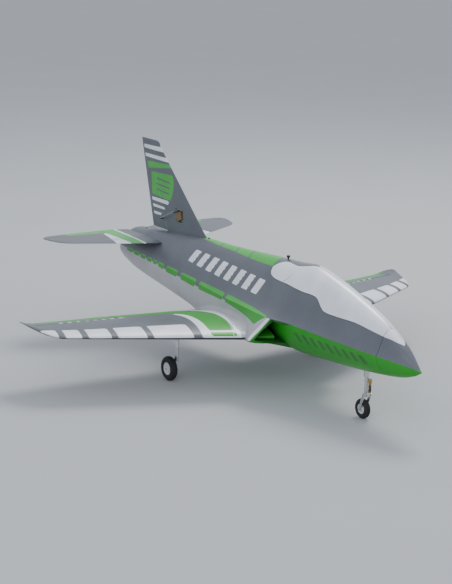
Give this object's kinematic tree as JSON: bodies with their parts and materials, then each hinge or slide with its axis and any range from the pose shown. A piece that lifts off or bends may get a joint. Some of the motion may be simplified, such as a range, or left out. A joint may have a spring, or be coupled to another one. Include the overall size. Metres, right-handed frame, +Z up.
{
  "type": "radio controlled jet",
  "caption": "Foam ducted-fan sport jet with side intakes, swept wings, moving control surfaces, a lift-off canopy and retracting, sprung tricycle gear.",
  "frame": {"origin": "on the ground, in the middle of the overall box, with the gear down", "axes": "+X to the nose, +Y to the left wing tip, +Z up"},
  "size_m": [1.175, 1.06, 0.486],
  "materials": {
    "grey_paint": "satin",
    "silver_paint": "satin",
    "canopy_paint": "satin",
    "black_plastic": "matte",
    "aluminium": "satin",
    "steel": "satin",
    "carbon": "satin",
    "plywood": "matte",
    "tyre_rubber": "matte",
    "hub_plastic": "satin",
    "servo_case": "satin",
    "battery_wrap": "gloss",
    "shock_bronze": "satin"
  },
  "bodies": {
    "airframe": {"fuselage_front": "grey_paint", "fuselage_rear": "silver_paint", "nose_cone": "grey_paint", "left_wing": "grey_paint", "right_wing": "grey_paint", "fin": "grey_paint", "left_stabilizer": "grey_paint", "right_stabilizer": "grey_paint", "wing_spar_tube": "carbon", "tail_spar_tube": "carbon", "fan_housing": "black_plastic", "fan_motor": "steel", "exhaust_tube": "carbon", "battery_tray": "plywood", "battery": "battery_wrap", "receiver": "black_plastic", "speed_controller": "black_plastic", "nose_retract_unit": "black_plastic", "left_retract_unit": "black_plastic", "right_retract_unit": "black_plastic", "left_aileron_servo": "servo_case", "right_aileron_servo": "servo_case", "rudder_servo": "servo_case"},
    "canopy": {"canopy_hatch": "canopy_paint"},
    "canopy_latch": {"canopy_latch": "black_plastic"},
    "fan_rotor": {"fan_rotor": "black_plastic"},
    "rudder": {"rudder": "grey_paint"},
    "rudder_arm": {"rudder_servo_arm": "black_plastic"},
    "rudder_rod": {"rudder_rod": "steel"},
    "left_flap": {"left_flap": "grey_paint"},
    "left_aileron": {"left_aileron": "grey_paint"},
    "left_elevator": {"left_elevator": "grey_paint"},
    "left_aileron_arm": {"left_aileron_servo_arm": "black_plastic"},
    "left_aileron_rod": {"left_aileron_rod": "steel"},
    "right_flap": {"right_flap": "grey_paint"},
    "right_aileron": {"right_aileron": "grey_paint"},
    "right_elevator": {"right_elevator": "grey_paint"},
    "right_aileron_arm": {"right_aileron_servo_arm": "black_plastic"},
    "right_aileron_rod": {"right_aileron_rod": "steel"},
    "nose_leg": {"nose_leg": "aluminium"},
    "nose_strut": {"nose_strut": "aluminium", "nose_shock": "shock_bronze"},
    "nose_fork": {"nose_fork": "aluminium", "nose_axle": "steel"},
    "nose_wheel": {"nose_tyre": "tyre_rubber", "nose_hub": "hub_plastic"},
    "left_leg": {"left_strut": "aluminium"},
    "left_trailing_link": {"left_link": "aluminium", "left_axle": "steel"},
    "left_wheel": {"left_tyre": "tyre_rubber", "left_hub": "hub_plastic"},
    "right_leg": {"right_strut": "aluminium"},
    "right_trailing_link": {"right_link": "aluminium", "right_axle": "steel"},
    "right_wheel": {"right_tyre": "tyre_rubber", "right_hub": "hub_plastic"}
  },
  "joints": [
    {"name": "canopy_lift", "type": "slide", "parent": "airframe", "child": "canopy", "axis": [0, 0, 1], "range_m": [0, 0.12]},
    {"name": "canopy_latch_slide", "type": "slide", "parent": "canopy", "child": "canopy_latch", "axis": [1, 0, 0], "range_m": [0, 0.008], "stiffness_N_per_m": 150, "springref_m": -0.004},
    {"name": "fan_spin", "type": "hinge", "parent": "airframe", "child": "fan_rotor", "pos_m": [-0.0525, 0, 0.178], "axis": [1, 0, 0], "continuous": true},
    {"name": "rudder_hinge", "type": "hinge", "parent": "airframe", "child": "rudder", "pos_m": [-0.4105, 0, 0.269], "axis": [-0.4046, 0, 0.9145], "range_deg": [-28, 28]},
    {"name": "rudder_servo_turn", "type": "hinge", "parent": "airframe", "child": "rudder_arm", "pos_m": [-0.3605, 0, 0.322], "axis": [-0.4046, 0, 0.9145], "range_deg": [-30, 30]},
    {"name": "rudder_rod_slide", "type": "slide", "parent": "airframe", "child": "rudder_rod", "axis": [0.9145, 0, 0.4046], "range_m": [-0.0075, 0.0075]},
    {"name": "left_flap_hinge", "type": "hinge", "parent": "airframe", "child": "left_flap", "pos_m": [-0.10777, 0.118, 0.13278], "axis": [-0.1285, 0.9915, 0.0219], "range_deg": [-40, 0]},
    {"name": "left_aileron_hinge", "type": "hinge", "parent": "airframe", "child": "left_aileron", "pos_m": [-0.1317, 0.303, 0.13686], "axis": [-0.0796, 0.9966, 0.0208], "range_deg": [-25, 25]},
    {"name": "left_elevator_hinge", "type": "hinge", "parent": "airframe", "child": "left_elevator", "pos_m": [-0.5205, 0.04, 0.244], "axis": [-0.1772, 0.9842, 0], "range_deg": [-22, 22]},
    {"name": "right_flap_hinge", "type": "hinge", "parent": "airframe", "child": "right_flap", "pos_m": [-0.10777, -0.118, 0.13278], "axis": [0.1285, 0.9915, -0.0219], "range_deg": [-40, 0]},
    {"name": "right_aileron_hinge", "type": "hinge", "parent": "airframe", "child": "right_aileron", "pos_m": [-0.1317, -0.303, 0.13686], "axis": [0.0796, 0.9966, -0.0208], "range_deg": [-25, 25]},
    {"name": "right_elevator_hinge", "type": "hinge", "parent": "airframe", "child": "right_elevator", "pos_m": [-0.5205, -0.04, 0.244], "axis": [0.1772, 0.9842, 0], "range_deg": [-22, 22]},
    {"name": "left_aileron_servo_turn", "type": "hinge", "parent": "airframe", "child": "left_aileron_arm", "pos_m": [-0.0745, 0.4, 0.13888], "axis": [-0.0796, 0.9966, 0.0208], "range_deg": [-30, 30]},
    {"name": "left_aileron_rod_slide", "type": "slide", "parent": "airframe", "child": "left_aileron_rod", "axis": [-0.9968, -0.0796, 0], "range_m": [-0.0075, 0.0075]},
    {"name": "right_aileron_servo_turn", "type": "hinge", "parent": "airframe", "child": "right_aileron_arm", "pos_m": [-0.0745, -0.4, 0.13888], "axis": [0.0796, 0.9966, -0.0208], "range_deg": [-30, 30]},
    {"name": "right_aileron_rod_slide", "type": "slide", "parent": "airframe", "child": "right_aileron_rod", "axis": [-0.9968, 0.0796, 0], "range_m": [-0.0075, 0.0075]},
    {"name": "nose_retract", "type": "hinge", "parent": "airframe", "child": "nose_leg", "pos_m": [0.4095, 0, 0.132], "axis": [0, 1, 0], "range_deg": [0, 90]},
    {"name": "nose_steer", "type": "hinge", "parent": "nose_leg", "child": "nose_strut", "pos_m": [0.4095, 0, 0.1], "axis": [0, 0, 1], "range_deg": [-30, 30]},
    {"name": "nose_fork_spring", "type": "hinge", "parent": "nose_strut", "child": "nose_fork", "pos_m": [0.4125, 0, 0.056], "axis": [0, 1, 0], "range_deg": [0, 20], "stiffness_Nm_per_rad": 0.6, "springref_deg": -28.65},
    {"name": "nose_wheel_spin", "type": "hinge", "parent": "nose_fork", "child": "nose_wheel", "pos_m": [0.3995, 0, 0.022], "axis": [0, 1, 0], "continuous": true},
    {"name": "left_retract", "type": "hinge", "parent": "airframe", "child": "left_leg", "pos_m": [-0.0425, 0.196, 0.133], "axis": [-1, 0, 0], "range_deg": [0, 90]},
    {"name": "left_link_spring", "type": "hinge", "parent": "left_leg", "child": "left_trailing_link", "pos_m": [-0.0425, 0.196, 0.05], "axis": [0, 1, 0], "range_deg": [0, 20], "stiffness_Nm_per_rad": 1.2, "springref_deg": -22.92},
    {"name": "left_wheel_spin", "type": "hinge", "parent": "left_trailing_link", "child": "left_wheel", "pos_m": [-0.0525, 0.211, 0.0285], "axis": [0, 1, 0], "continuous": true},
    {"name": "right_retract", "type": "hinge", "parent": "airframe", "child": "right_leg", "pos_m": [-0.0425, -0.196, 0.133], "axis": [1, 0, 0], "range_deg": [0, 90]},
    {"name": "right_link_spring", "type": "hinge", "parent": "right_leg", "child": "right_trailing_link", "pos_m": [-0.0425, -0.196, 0.05], "axis": [0, 1, 0], "range_deg": [0, 20], "stiffness_Nm_per_rad": 1.2, "springref_deg": -22.92},
    {"name": "right_wheel_spin", "type": "hinge", "parent": "right_trailing_link", "child": "right_wheel", "pos_m": [-0.0525, -0.211, 0.0285], "axis": [0, 1, 0], "continuous": true}
  ],
  "couplings": [
    {"joint": "rudder_servo_turn", "follows": "rudder_hinge", "ratio": 1},
    {"joint": "rudder_rod_slide", "follows": "rudder_hinge", "m_per_rad": 0.0127},
    {"joint": "right_flap_hinge", "follows": "left_flap_hinge", "ratio": 1},
    {"joint": "right_aileron_hinge", "follows": "left_aileron_hinge", "ratio": -1},
    {"joint": "right_elevator_hinge", "follows": "left_elevator_hinge", "ratio": 1},
    {"joint": "left_aileron_servo_turn", "follows": "left_aileron_hinge", "ratio": 1},
    {"joint": "left_aileron_rod_slide", "follows": "left_aileron_hinge", "m_per_rad": 0.0127},
    {"joint": "right_aileron_servo_turn", "follows": "left_aileron_hinge", "ratio": -1},
    {"joint": "right_aileron_rod_slide", "follows": "left_aileron_hinge", "m_per_rad": -0.0127}
  ]
}
